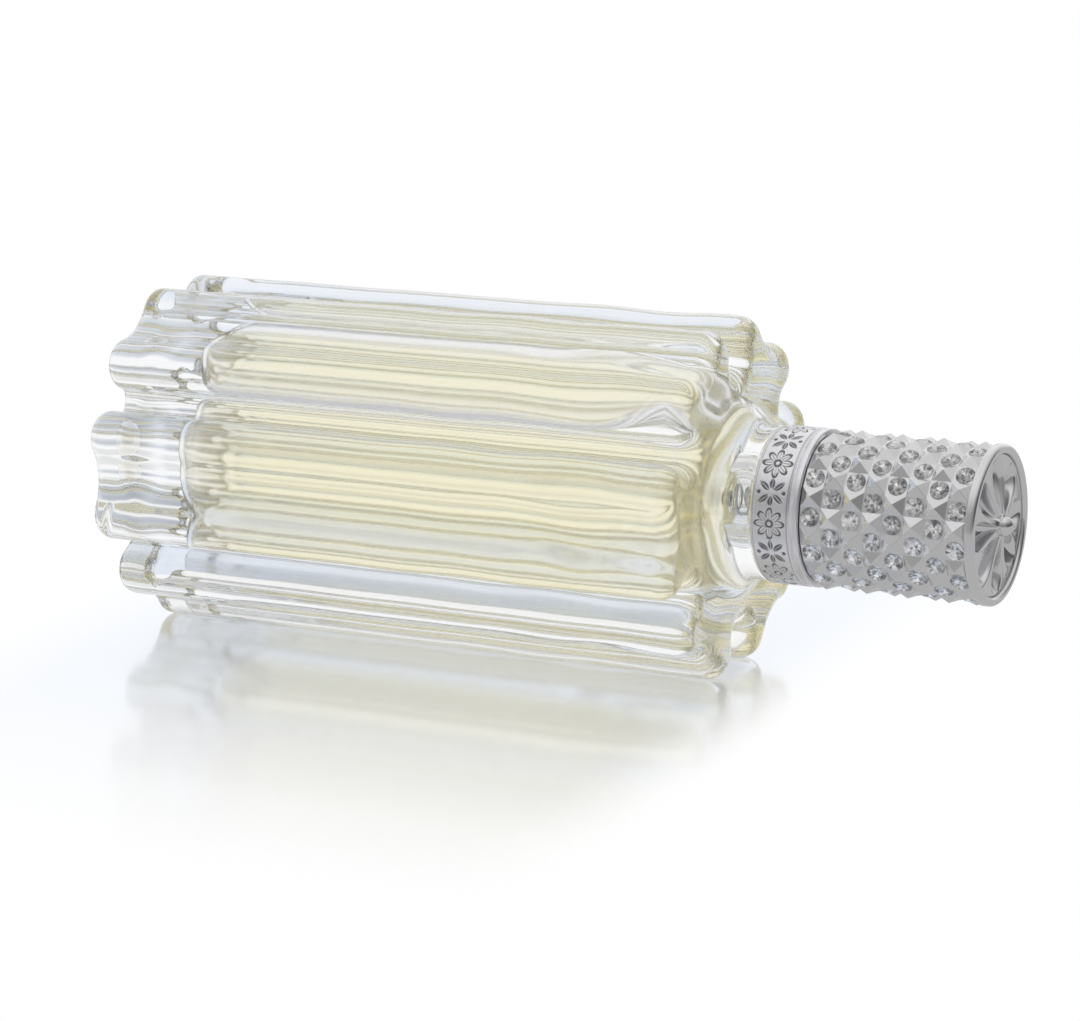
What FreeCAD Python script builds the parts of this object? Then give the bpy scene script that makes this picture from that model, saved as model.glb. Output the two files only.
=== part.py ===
import FreeCAD, Part
import math
import os

# Fluted glass perfume bottle with a crimp spray pump, an engraved collar and a
# studded lift-off cap. Millimetres. +Z runs up the bottle's axis, and the origin
# is the centre of the flat foot that the bottle stands on.

# ---- driving dimensions: glass body
RIBS = 6                    # double ribs around the body
TIP_R = 27.7                # axis to the outermost point of a lobe
LOBE_R = 4.15               # roundness of each lobe, two lobes to a rib
LOBE_ANGLE = 15.0           # from a rib's crease to the centre of either lobe, degrees
CREASE_BOTTOM_R = 25.3      # axis to the shallow crease between a rib's two lobes
FLUTE_BOTTOM_R = 19.5       # axis to the deep flute between two ribs
FOOT_ROUND = 2.2            # edge rounding round the foot
SHOULDER_ROUND = 3.2        # edge rounding round the shoulder
SHOULDER_Z = 100.6          # height of the flat shoulder
CAVITY_R = 17.6
CAVITY_FLOOR_Z = 12.0       # the heavy solid glass base
CAVITY_FLOOR_ROUND = 5.0
CAVITY_ROOF_Z = 98.0
CAVITY_SLOPE_R = 30.0       # the cavity's wall leans in under the shoulder on this radius,
CAVITY_SLOPE_TURN = 35.0    # through this many degrees, and then rounds into the roof
CAVITY_ROOF_ROUND = 7.0
THROAT_ROUND = 1.2          # where the cavity's roof turns up into the bore
FILL_Z = 99.4               # liquid level with the bottle standing, just inside the throat

# ---- driving dimensions: glass neck
NECK_RING_R = 11.8          # wide glass ring that the collar sits on
NECK_RING_ROUND = 4.2       # hollow rounding from the shoulder up to the ring
SEAT_Z = 107.0              # top of the glass ring
NECK_R = 6.4
BEAD_R = 7.5                # the standard 15 mm crimp neck: its bead is 15 mm across
BEAD_Z = 110.0
NECK_TOP_Z = 113.4
BORE_R = 4.6

# ---- driving dimensions: collar and cap
COLLAR_R = 12.0
COLLAR_TOP_Z = 114.6
ENGRAVED_HEIGHT = 6.1       # the rest of the collar's height is a plain lip
SPIGOT_R = 9.15             # sleeve that the cap slides over
SPIGOT_TOP_Z = 121.5
CAP_BOTTOM_Z = 114.7
CAP_COLUMNS = 24            # cells round the cap, pyramids and crystals in turn
CAP_ROWS = 8
CELL_HEIGHT = 3.24
FACET_R = 11.3              # axis to the corners of the cells
STUD_TIP_R = 12.2
CAP_BORE_R = 9.9
CRYSTAL_R = 1.4             # half the width of a crystal
CRYSTAL_TABLE = 0.6         # part of that width which is the flat top
CRYSTAL_CROWN = 0.55        # height above the cell's face
CRYSTAL_DEPTH = 0.75        # depth below the cell's face
END_RING_R = 12.0
END_RING_BORE = 10.6
END_RING_HEIGHT = 1.5
FLOWER_RIDGES = 8
FLOWER_TOP_Z = 144.0

# ---- driving dimensions: spray pump
STEM_R = 1.6
PISTON_R = 2.95
CYLINDER_R = 3.0
HOUSING_R = 3.8
FLANGE_R = 6.4              # the housing's flange, clamped on the gasket
TURRET_R = 4.95             # the housing's head inside the ferrule
TAIL_R = 2.1                # the housing's thin lower end, which holds the tube
TAIL_BOTTOM_Z = 92.0
TAIL_TOP_Z = 97.0
TAPER_TOP_Z = 99.5
SPRING_FLOOR_Z = 100.5
PISTON_Z = 107.9
BALL_R = 1.2
BALL_SEAT_R = 0.6           # small end of the 45 degree seat
BALL_SEAT_Z = 96.6
BALL_ROOM_R = 1.35
BALL_KEEPER_R = 1.1         # bead that the ball was snapped past
BALL_KEEPER_Z = 99.9
TUBE_R = 1.25
TUBE_BORE = 0.85
TUBE_BOTTOM_Z = 14.5
TUBE_TOP_Z = 95.4
BUTTON_R = 7.0
BUTTON_BOTTOM_Z = 120.2
BUTTON_TOP_Z = 130.2
BUTTON_WALL = 0.45          # the metal skin round the moulded core
NOZZLE_Z = 126.6
NOZZLE_R = 1.9
NOZZLE_START = 4.2          # how far from the axis the nozzle's pocket starts
CHANNEL_R = 0.45            # spray channel from the stem to the nozzle

# ---- fits
SLIDE_GAP = 0.05            # running clearance of sliding and turning pieces
STILL_GAP = 0.02            # clearance between pieces that are fixed together
LIQUID_GAP = 0.05           # film between the liquid and the glass round it

# ---- worked out from the sizes above
CELL_FACE_R = FACET_R * math.cos(math.pi / CAP_COLUMNS)
CAP_TOP_Z = CAP_BOTTOM_Z + CAP_ROWS * CELL_HEIGHT
LOBE_CENTRE_R = TIP_R - LOBE_R
CORE_R = BUTTON_R - BUTTON_WALL

vec = FreeCAD.Vector
UP = vec(0, 0, 1)
AXIS = vec(0, 0, 0)


def polar(radius, degrees, z=0.0):
    """A point at a radius and an angle about the bottle's axis."""
    angle = math.radians(degrees)
    return vec(radius * math.cos(angle), radius * math.sin(angle), z)


def turned(points):
    """A solid of revolution about the axis from an outline of (radius, height) points."""
    outline = [vec(r, 0, z) for r, z in points]
    wire = Part.makePolygon(outline + [outline[0]])
    return Part.Face(wire).revolve(AXIS, UP, 360)


def tube(outer, inner, bottom, top):
    """A plain ring or tube about the axis."""
    ring = Part.makeCylinder(outer, top - bottom, vec(0, 0, bottom))
    return ring.cut(Part.makeCylinder(inner, top - bottom, vec(0, 0, bottom)))


def on_arc(centre, radius, degrees):
    """A point on a circle drawn in the XZ plane."""
    angle = math.radians(degrees)
    return vec(centre[0] + radius * math.cos(angle), 0, centre[1] + radius * math.sin(angle))


def arc(centre, radius, start, end):
    """An arc in the XZ plane between two angles in degrees."""
    ends = [on_arc(centre, radius, angle) for angle in (start, (start + end) / 2, end)]
    return Part.Arc(*ends).toShape()


def quarter(centre, radius, start):
    """A quarter circle in the XZ plane, from angle start to start plus 90 degrees."""
    return arc(centre, radius, start, start + 90)


def line(r1, z1, r2, z2):
    return Part.makeLine(vec(r1, 0, z1), vec(r2, 0, z2))


def revolved(edges):
    """A solid of revolution from edges that close an outline in the XZ plane."""
    wire = Part.Wire(Part.__sortEdges__(edges))
    return Part.Face(wire).revolve(AXIS, UP, 360)


# ---- glass

def circle_between(lobe, angle, bottom_r):
    """A hollow arc on the radial line at angle that touches a lobe and reaches bottom_r.

    Returns the arc's centre and radius. Its centre lies outside the glass.
    """
    along = lobe.x * math.cos(math.radians(angle)) + lobe.y * math.sin(math.radians(angle))
    squares = LOBE_R ** 2 - lobe.Length ** 2 - bottom_r ** 2 + 2 * bottom_r * along
    radius = squares / (2 * (bottom_r - along - LOBE_R))
    return polar(bottom_r + radius, angle), radius


def body_outline():
    """The wavy cross-section: six ribs, each of two lobes with a shallow crease between."""
    edges = []
    step = 360.0 / RIBS
    for rib in range(RIBS):
        crease_angle = 90 + rib * step
        for side in (-1, 1):
            lobe_angle = crease_angle + side * LOBE_ANGLE
            lobe = polar(LOBE_CENTRE_R, lobe_angle)
            flute_angle = crease_angle + side * step / 2
            crease, crease_r = circle_between(lobe, crease_angle, CREASE_BOTTOM_R)
            flute, flute_r = circle_between(lobe, flute_angle, FLUTE_BOTTOM_R)
            to_crease = lobe + (crease - lobe) * (LOBE_R / (LOBE_R + crease_r))
            to_flute = lobe + (flute - lobe) * (LOBE_R / (LOBE_R + flute_r))
            edges.append(hollow_half(crease, crease_r, crease_angle, to_crease))
            edges.append(Part.Arc(to_crease, polar(TIP_R, lobe_angle), to_flute).toShape())
            edges.append(hollow_half(flute, flute_r, flute_angle, to_flute))
    return Part.Wire(Part.__sortEdges__(edges))


def hollow_half(centre, radius, angle, touch):
    """Half a hollow arc: from its innermost point out to where it touches a lobe."""
    bottom = centre - polar(radius, angle)
    middle = (bottom + touch) * 0.5 - centre
    middle.multiply(radius / middle.Length)
    return Part.Arc(bottom, centre + middle, touch).toShape()


def edges_at(shape, z):
    """The edges that lie wholly at one height."""
    level = lambda edge: abs(edge.BoundBox.ZMin - z) + abs(edge.BoundBox.ZMax - z) < 1e-3
    return [edge for edge in shape.Edges if level(edge)]


def glass_neck():
    """Hollow rounding off the shoulder, wide seat ring, then the crimp neck and bead."""
    flare_r = NECK_RING_R + NECK_RING_ROUND
    flare_z = SHOULDER_Z + NECK_RING_ROUND
    root_z = SHOULDER_Z - SHOULDER_ROUND
    bead_round = 0.8
    edges = [
        line(0, root_z, flare_r, root_z),
        line(flare_r, root_z, flare_r, SHOULDER_Z),
        quarter((flare_r, flare_z), NECK_RING_ROUND, 180),
        line(NECK_RING_R, flare_z, NECK_RING_R, SEAT_Z),
        line(NECK_RING_R, SEAT_Z, NECK_R, SEAT_Z),
        line(NECK_R, SEAT_Z, NECK_R, BEAD_Z),
        line(NECK_R, BEAD_Z, BEAD_R, BEAD_Z + BEAD_R - NECK_R),
        line(BEAD_R, BEAD_Z + BEAD_R - NECK_R, BEAD_R, NECK_TOP_Z - bead_round),
        quarter((BEAD_R - bead_round, NECK_TOP_Z - bead_round), bead_round, 0),
        line(BEAD_R - bead_round, NECK_TOP_Z, 0, NECK_TOP_Z),
        line(0, NECK_TOP_Z, 0, root_z),
    ]
    return revolved(edges)


def cavity(gap=0.0, top_z=NECK_TOP_Z):
    """The hollow inside the glass, shrunk by gap; used for the hollow and the liquid."""
    wall = CAVITY_R - gap
    floor = CAVITY_FLOOR_Z + gap
    roof = CAVITY_ROOF_Z - gap
    bore = BORE_R - gap
    low = CAVITY_FLOOR_ROUND - gap
    throat = THROAT_ROUND + gap
    lean = math.radians(CAVITY_SLOPE_TURN)
    reach = CAVITY_SLOPE_R - CAVITY_ROOF_ROUND
    round_z = CAVITY_ROOF_Z - CAVITY_ROOF_ROUND
    slope_z = round_z - reach * math.sin(lean)
    round_r = CAVITY_R - CAVITY_SLOPE_R + reach * math.cos(lean)
    edges = [
        line(0, floor, wall - low, floor),
        quarter((wall - low, floor + low), low, 270),
        line(wall, floor + low, wall, slope_z),
        arc((CAVITY_R - CAVITY_SLOPE_R, slope_z), CAVITY_SLOPE_R - gap, 0, CAVITY_SLOPE_TURN),
        arc((round_r, round_z), CAVITY_ROOF_ROUND - gap, CAVITY_SLOPE_TURN, 90),
        line(round_r, roof, bore + throat, roof),
        quarter((bore + throat, roof + throat), throat, 180),
        line(bore, roof + throat, bore, NECK_TOP_Z),
        line(bore, NECK_TOP_Z, 0, NECK_TOP_Z),
        line(0, NECK_TOP_Z, 0, floor),
    ]
    whole = revolved(edges)
    return whole.common(Part.makeCylinder(TIP_R, top_z, AXIS))


def glass_flask():
    body = Part.Face(body_outline()).extrude(UP * SHOULDER_Z)
    body = body.makeFillet(FOOT_ROUND, edges_at(body, 0.0))
    body = body.makeFillet(SHOULDER_ROUND, edges_at(body, SHOULDER_Z))
    return body.fuse(glass_neck()).cut(cavity()).removeSplitter()


def perfume():
    """The liquid, with room for the dip tube and for the pump's lower end."""
    liquid = cavity(LIQUID_GAP, FILL_Z)
    liquid = liquid.cut(Part.makeCylinder(TUBE_R + LIQUID_GAP, FILL_Z, AXIS))
    tail_room = Part.makeCylinder(TAIL_R + LIQUID_GAP, FILL_Z, vec(0, 0, TAIL_BOTTOM_Z - LIQUID_GAP))
    housing_room = Part.makeCylinder(HOUSING_R + LIQUID_GAP, FILL_Z, vec(0, 0, TAIL_TOP_Z - LIQUID_GAP))
    return liquid.cut(tail_room).cut(housing_room)


# ---- closure

GASKET_TOP_Z = NECK_TOP_Z + 0.8
FLANGE_TOP_Z = GASKET_TOP_Z + 0.8
HEAD_TOP_Z = FLANGE_TOP_Z + 3.0
FERRULE_WALL = 0.4
FERRULE_R = 8.0
SEAL_Z = HEAD_TOP_Z - 1.6
GLAND_Z = HEAD_TOP_Z - 0.8
GLAND_R = 4.05


def neck_gasket():
    return tube(BEAD_R - 0.2, HOUSING_R + SLIDE_GAP, NECK_TOP_Z, GASKET_TOP_Z)


def crimp_ferrule():
    """Thin aluminium cup, folded in under the glass bead, with a raised turret."""
    wall_in = FERRULE_R - FERRULE_WALL
    lip_r = NECK_R + 0.2
    turret_in = TURRET_R + STILL_GAP
    turret_out = turret_in + FERRULE_WALL
    hole_r = STEM_R + 0.6
    return turned([
        (lip_r, BEAD_Z - 0.6), (FERRULE_R, BEAD_Z - 0.6),
        (FERRULE_R, FLANGE_TOP_Z + FERRULE_WALL), (turret_out, FLANGE_TOP_Z + FERRULE_WALL),
        (turret_out, HEAD_TOP_Z + FERRULE_WALL), (hole_r, HEAD_TOP_Z + FERRULE_WALL),
        (hole_r, HEAD_TOP_Z), (turret_in, HEAD_TOP_Z),
        (turret_in, FLANGE_TOP_Z), (wall_in, FLANGE_TOP_Z),
        (wall_in, BEAD_Z - 0.2), (lip_r, BEAD_Z - 0.2),
    ])


def collar():
    """Metal ring on the glass seat, with a plain lip and the sleeve that the cap grips."""
    wall_in = COLLAR_R - 0.8
    spigot_in = SPIGOT_R - 0.6
    bottom = SEAT_Z + 0.1
    lip_z = bottom + ENGRAVED_HEIGHT
    groove = 0.15
    return turned([
        (wall_in, bottom), (COLLAR_R, bottom),
        (COLLAR_R, lip_z), (COLLAR_R - groove, lip_z + groove),
        (COLLAR_R, lip_z + 2 * groove), (COLLAR_R, COLLAR_TOP_Z),
        (SPIGOT_R, COLLAR_TOP_Z), (SPIGOT_R, SPIGOT_TOP_Z),
        (spigot_in, SPIGOT_TOP_Z), (spigot_in, COLLAR_TOP_Z - 1.1),
        (wall_in, COLLAR_TOP_Z - 1.1),
    ])


def collar_insert():
    """Plastic ring that holds the collar on the ferrule, open at intervals to flex."""
    ring = tube(COLLAR_R - 0.8 - STILL_GAP, FERRULE_R + STILL_GAP, SEAT_Z + 0.1, COLLAR_TOP_Z - 1.2)
    slots = 8
    for number in range(slots):
        slot = Part.makeBox(1.0, 1.2, 3.6, vec(FERRULE_R - 0.2, -0.6, SEAT_Z))
        ring = ring.cut(slot.rotated(AXIS, UP, number * 360 / slots))
    return ring


# ---- pump

def pump_housing():
    """Cylinder, ball chamber and tube socket in one moulding, hung from a flange."""
    socket_r = TUBE_R + STILL_GAP
    socket_top = TUBE_TOP_Z + 0.1
    lead_in = 0.3
    head_bore = GLAND_R + STILL_GAP
    seat_top = BALL_SEAT_Z + BALL_ROOM_R - BALL_SEAT_R
    return turned([
        (socket_r, TAIL_BOTTOM_Z), (TAIL_R, TAIL_BOTTOM_Z), (TAIL_R, TAIL_TOP_Z),
        (HOUSING_R, TAPER_TOP_Z), (HOUSING_R, GASKET_TOP_Z), (FLANGE_R, GASKET_TOP_Z),
        (FLANGE_R, FLANGE_TOP_Z), (TURRET_R, FLANGE_TOP_Z), (TURRET_R, HEAD_TOP_Z),
        (head_bore, HEAD_TOP_Z), (head_bore, SEAL_Z), (CYLINDER_R, SEAL_Z),
        (CYLINDER_R, SPRING_FLOOR_Z), (BALL_ROOM_R, SPRING_FLOOR_Z),
        (BALL_KEEPER_R, SPRING_FLOOR_Z - lead_in), (BALL_KEEPER_R, BALL_KEEPER_Z),
        (BALL_ROOM_R, BALL_KEEPER_Z - lead_in), (BALL_ROOM_R, seat_top),
        (BALL_SEAT_R, BALL_SEAT_Z), (BALL_SEAT_R, socket_top), (socket_r, socket_top),
    ])


def stem_seal():
    return tube(GLAND_R - 0.05, STEM_R + SLIDE_GAP, SEAL_Z, GLAND_Z)


def pump_gland():
    """Plastic closure that keeps the seal and the stem inside the housing."""
    return tube(GLAND_R, STEM_R + 0.1, GLAND_Z, HEAD_TOP_Z)


def inlet_ball():
    seat_clearance = 0.01
    cone_point_z = BALL_SEAT_Z - BALL_SEAT_R
    centre_z = cone_point_z + BALL_R * math.sqrt(2) + seat_clearance
    return Part.makeSphere(BALL_R, vec(0, 0, centre_z))


def pump_piston():
    """Piston with a sharp wiping lip at each end."""
    waist = PISTON_R - 0.35
    top = PISTON_Z + 3.6
    return turned([
        (STEM_R, PISTON_Z), (PISTON_R, PISTON_Z), (PISTON_R, PISTON_Z + 0.5),
        (waist, PISTON_Z + 1.0), (waist, top - 1.0), (PISTON_R, top - 0.5),
        (PISTON_R, top), (STEM_R, top),
    ])


def pump_stem():
    """Hollow stem; its flange stops against the seal at the top of the stroke."""
    bore = 0.55
    flange_top = SEAL_Z - 0.05
    stem_bottom = PISTON_Z + 0.6
    stem_top = NOZZLE_Z - 0.7
    return turned([
        (bore, stem_bottom), (STEM_R, stem_bottom), (STEM_R, flange_top - 1.4),
        (2.6, flange_top - 1.4), (2.6, flange_top), (STEM_R, flange_top),
        (STEM_R, stem_top), (bore, stem_top),
    ])


def return_spring():
    """Compression spring between the housing's floor and the piston."""
    wire_r = 0.25
    mean_r = 2.2
    turns = 4.5
    steps_per_turn = 16
    low = SPRING_FLOOR_Z + wire_r + STILL_GAP
    length = PISTON_Z - SPRING_FLOOR_Z - 2 * (wire_r + STILL_GAP)
    steps = int(turns * steps_per_turn)
    coil = []
    for step in range(steps + 1):
        coil.append(polar(mean_r, step * 360 / steps_per_turn, low + length * step / steps))
    path = Part.BSplineCurve()
    path.interpolate(coil)
    start_direction = path.tangent(path.FirstParameter)[0]
    section = Part.Wire(Part.makeCircle(wire_r, coil[0], start_direction))
    return Part.Wire(path.toShape()).makePipeShell([section], True, True)


def dip_tube():
    """Suction tube, cut off at a slant so that its end can't seal on the floor."""
    slant = Part.makeBox(10, 10, 3, vec(-5, -5, TUBE_BOTTOM_Z - 3.4))
    slant = slant.rotated(vec(0, 0, TUBE_BOTTOM_Z), vec(0, 1, 0), 25)
    return tube(TUBE_R, TUBE_BORE, TUBE_BOTTOM_Z, TUBE_TOP_Z).cut(slant)


# ---- spray button

def nozzle_bore(radius, start, end):
    """A cylinder along the nozzle's axis, out of the button's front (+Y)."""
    return Part.makeCylinder(radius, end - start, vec(0, start, NOZZLE_Z), vec(0, 1, 0))


def actuator_core():
    """Moulded button: dished top, stem socket, cross channel and nozzle pocket."""
    skirt_in = 5.85
    skirt_z = BUTTON_BOTTOM_Z + 0.2
    socket_r = STEM_R + SLIDE_GAP
    socket_z = BUTTON_BOTTOM_Z + 2.9
    socket_top = NOZZLE_Z - 0.65
    socket_wall = 1.6
    roof_z = socket_z + 1.6
    sleeve_top = BUTTON_TOP_Z - 0.9
    core = turned([
        (skirt_in, skirt_z), (CORE_R, skirt_z), (CORE_R, sleeve_top),
        (CORE_R - 0.6, BUTTON_TOP_Z), (3.0, BUTTON_TOP_Z - 0.7), (0, BUTTON_TOP_Z - 0.8),
        (0, socket_top), (socket_r, socket_top), (socket_r, socket_z),
        (socket_r + socket_wall, socket_z), (socket_r + socket_wall + 0.4, roof_z), (skirt_in, roof_z),
    ])
    riser = Part.makeCylinder(CHANNEL_R, NOZZLE_Z - socket_top + 0.1, vec(0, 0, socket_top - 0.1))
    core = core.cut(nozzle_bore(CHANNEL_R, 0.0, BUTTON_R))
    core = core.cut(riser)
    return core.cut(nozzle_bore(NOZZLE_R, NOZZLE_START, BUTTON_R))


def actuator_sleeve():
    """Metal skin round the button, with a window for the nozzle."""
    skin = tube(BUTTON_R, CORE_R + STILL_GAP, BUTTON_BOTTOM_Z, BUTTON_TOP_Z - 0.9)
    return skin.cut(nozzle_bore(NOZZLE_R + 0.1, NOZZLE_START, BUTTON_R + 1))


def nozzle_insert():
    """Cup with the spray orifice, pressed into the button's front."""
    rim = NOZZLE_R - STILL_GAP
    front = BUTTON_R - 0.25
    cup = nozzle_bore(rim, NOZZLE_START + 0.05, front)
    cup = cup.cut(nozzle_bore(rim - 0.5, NOZZLE_START, front - 0.6))
    cup = cup.cut(nozzle_bore(0.7, front - 0.3, front + 0.1))
    return cup.cut(nozzle_bore(0.15, NOZZLE_START, front + 0.1))


# ---- cap

def cell_corner(column, row):
    angle = column * 360.0 / CAP_COLUMNS
    return polar(FACET_R, angle, CAP_BOTTOM_Z + row * CELL_HEIGHT)


def flat_face(*corners):
    return Part.Face(Part.makePolygon(list(corners) + [corners[0]]))


def cell_middle(column, row, radius):
    angle = (column + 0.5) * 360.0 / CAP_COLUMNS
    return polar(radius, angle, CAP_BOTTOM_Z + (row + 0.5) * CELL_HEIGHT)


def holds_crystal(column, row):
    return (column + row) % 2 == 1


def cell_faces(column, row):
    """One cell of the cap's skin: a flat face under a crystal, or a four-sided pyramid."""
    corners = [cell_corner(column, row), cell_corner(column + 1, row)]
    corners += [cell_corner(column + 1, row + 1), cell_corner(column, row + 1)]
    if holds_crystal(column, row):
        return [flat_face(*corners)]
    tip = cell_middle(column, row, STUD_TIP_R)
    return [flat_face(corners[side - 1], corners[side], tip) for side in range(4)]


def crystal_at(column, row, gap=0.0):
    """A round crystal with a flat table; gap grows it to make its seat in the metal."""
    girdle = cell_middle(column, row, CELL_FACE_R)
    outward = cell_middle(column, 0, 1.0)
    outward.z = 0
    radius = CRYSTAL_R + gap
    depth = CRYSTAL_DEPTH + gap
    point = Part.makeCone(0.0, radius, depth, girdle - outward * depth, outward)
    crown = Part.makeCone(radius, radius * CRYSTAL_TABLE, CRYSTAL_CROWN, girdle, outward)
    return point.fuse(crown)


def crystal_cells():
    cells = [(column, row) for column in range(CAP_COLUMNS) for row in range(CAP_ROWS)]
    return [cell for cell in cells if holds_crystal(*cell)]


COUNTERBORE_Z = CAP_TOP_Z - 1.6
WEB_Z = COUNTERBORE_Z - 1.2


def cap_shell():
    """Studded metal sleeve, closed by a web under its decorated end."""
    faces = []
    for column in range(CAP_COLUMNS):
        for row in range(CAP_ROWS):
            faces += cell_faces(column, row)
    faces.append(flat_face(*[cell_corner(column, 0) for column in range(CAP_COLUMNS)]))
    faces.append(flat_face(*[cell_corner(column, CAP_ROWS) for column in range(CAP_COLUMNS)]))
    block = Part.Solid(Part.Shell(faces))
    seats = Part.makeCompound([crystal_at(column, row, STILL_GAP) for column, row in crystal_cells()])
    bore = Part.makeCylinder(CAP_BORE_R, WEB_Z - CAP_BOTTOM_Z, vec(0, 0, CAP_BOTTOM_Z))
    pocket = Part.makeCylinder(END_RING_BORE, CAP_TOP_Z - COUNTERBORE_Z, vec(0, 0, COUNTERBORE_Z))
    return block.cut(bore).cut(pocket).cut(seats)


def cap_crystals():
    return Part.makeCompound([crystal_at(column, row) for column, row in crystal_cells()])


def cap_liner():
    """Plastic cup inside the cap; its bore grips the collar's sleeve."""
    outer = CAP_BORE_R - STILL_GAP
    inner = SPIGOT_R + SLIDE_GAP
    top = WEB_Z - STILL_GAP
    return turned([
        (inner, CAP_BOTTOM_Z + 0.5), (outer, CAP_BOTTOM_Z + 0.5), (outer, top),
        (0, top), (0, top - 0.9), (inner, top - 0.9),
    ])


def cap_end_ring():
    """Polished bead round the cap's end."""
    bottom = CAP_TOP_Z + STILL_GAP
    top = CAP_TOP_Z + END_RING_HEIGHT
    corner = 0.6
    edges = [
        line(END_RING_BORE, bottom, END_RING_R, bottom),
        line(END_RING_R, bottom, END_RING_R, top - corner),
        quarter((END_RING_R - corner, top - corner), corner, 0),
        line(END_RING_R - corner, top, END_RING_BORE + 0.3, top),
        line(END_RING_BORE + 0.3, top, END_RING_BORE, top - 0.3),
        line(END_RING_BORE, top - 0.3, END_RING_BORE, bottom),
    ]
    return revolved(edges)


def cap_flower():
    """Medallion in the cap's end: ridges rise from a dished disc to a central boss."""
    rim = END_RING_BORE - STILL_GAP
    low = COUNTERBORE_Z + STILL_GAP
    dish = low + 1.4
    boss_r = 1.5
    disc = turned([
        (0, low), (rim, low), (rim, CAP_TOP_Z + 0.9), (rim - 1.0, CAP_TOP_Z + 0.4),
        (rim - 3.0, dish), (boss_r + 1.8, dish), (boss_r, FLOWER_TOP_Z - 0.8),
        (boss_r * 0.55, FLOWER_TOP_Z), (0, FLOWER_TOP_Z),
    ])
    ridge = flat_face(
        vec(0, -0.35, low + 0.5), vec(rim - 0.4, -0.35, low + 0.5),
        vec(rim - 0.4, -0.35, CAP_TOP_Z + 0.8), vec(boss_r, -0.35, FLOWER_TOP_Z - 0.9),
        vec(0, -0.35, FLOWER_TOP_Z - 0.9),
    ).extrude(vec(0, 0.7, 0))
    for number in range(FLOWER_RIDGES):
        disc = disc.fuse(ridge.rotated(AXIS, UP, number * 360 / FLOWER_RIDGES))
    return disc.removeSplitter()


PIECES = [
    glass_flask, perfume, neck_gasket, crimp_ferrule, collar, collar_insert,
    pump_housing, stem_seal, pump_gland, inlet_ball, pump_piston, pump_stem,
    return_spring, dip_tube, actuator_core, actuator_sleeve, nozzle_insert,
    cap_shell, cap_crystals, cap_liner, cap_end_ring, cap_flower,
]


def main():
    os.makedirs("parts", exist_ok=True)
    for piece in PIECES:
        shape = piece()
        shape.exportStep("parts/" + piece.__name__ + ".step")
        print(piece.__name__, len(shape.Solids), "solids", round(shape.Volume, 1), "mm3", shape.isValid())


main()
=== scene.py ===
import math
import random

import bmesh
import bpy
import numpy as np
from mathutils import Matrix, Vector
from mathutils.geometry import delaunay_2d_cdt


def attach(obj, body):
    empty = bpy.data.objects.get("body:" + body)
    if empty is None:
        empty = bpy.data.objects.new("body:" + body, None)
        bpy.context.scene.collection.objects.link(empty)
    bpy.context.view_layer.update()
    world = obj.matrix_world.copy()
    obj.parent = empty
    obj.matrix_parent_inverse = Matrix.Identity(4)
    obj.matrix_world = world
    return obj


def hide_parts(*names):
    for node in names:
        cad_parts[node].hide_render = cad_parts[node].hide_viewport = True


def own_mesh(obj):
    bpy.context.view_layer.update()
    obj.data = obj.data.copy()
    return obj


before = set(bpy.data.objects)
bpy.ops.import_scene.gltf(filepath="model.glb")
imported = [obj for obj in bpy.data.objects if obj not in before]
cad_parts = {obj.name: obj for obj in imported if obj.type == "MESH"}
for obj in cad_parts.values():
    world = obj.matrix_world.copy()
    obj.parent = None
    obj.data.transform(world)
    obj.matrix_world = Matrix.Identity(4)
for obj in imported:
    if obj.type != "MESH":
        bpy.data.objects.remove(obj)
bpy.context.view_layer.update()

# A fluted glass perfume bottle, standing along +Z in the CAD frame. Lengths that are
# named here are in millimetres and are turned into metres where a mesh is made.
MM = 0.001

# ---- glass body
RIBS = 6
TIP_R = 27.7
LOBE_R = 4.15
LOBE_ANGLE = 15.0
CREASE_BOTTOM_R = 25.3
FLUTE_BOTTOM_R = 19.5
FOOT_ROUND = 2.2
FOOT_HOLLOW = 1.2
FOOT_HOLLOW_R = 13.0
SHOULDER_ROUND = 3.2
SHOULDER_Z = 100.6
CAVITY_R = 17.6
CAVITY_FLOOR_Z = 12.0
CAVITY_FLOOR_ROUND = 5.0
FLOOR_MIDDLE_R = 1.5        # the cavity floor's innermost ring, closed by a point
CAVITY_ROOF_Z = 98.0
CAVITY_SLOPE_R = 30.0
CAVITY_SLOPE_TURN = 35.0
CAVITY_ROOF_ROUND = 7.0
THROAT_ROUND = 1.2
FILL_Z = 99.4
NECK_RING_R = 11.8
NECK_RING_ROUND = 4.2
SEAT_Z = 107.0
NECK_R = 6.4
BEAD_R = 7.5
BEAD_Z = 110.0
NECK_TOP_Z = 113.4
BORE_R = 4.6
WET_OVERLAP = 0.06          # the liquid reaches this far into the glass, so no air film shows
BALL_ROOM_R = 1.35
BALL_KEEPER_Z = 99.9

# ---- unevenness of the glass: amplitude in mm, waves round it, radians per mm of height, phase
RIPPLE = ((0.03, 2, 0.25, 0.0), (0.02, 5, -0.33, 0.0))
RIPPLE_ADDED_ABOVE = ((0.10, 2, 0.25, 0.0), (0.06, 5, -0.33, 0.0))
SWELL = ((0.12, 2, 0.03, 0.0), (0.08, 3, -0.05, 1.0))
SWIRL_ADDED_ABOVE = ((0.8, 2, 0.26, 1.0), (0.6, 4, -0.32, 2.0))
RIPPLE_GROWS = (45.0, 75.0)         # heights between which the added ripple comes in
SWIRL_GROWS = (55.0, 85.0)          # and the added swirl
RIPPLE_FADE_FOOT = 14.0
RIPPLE_FADE_SHOULDER = 8.0

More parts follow.
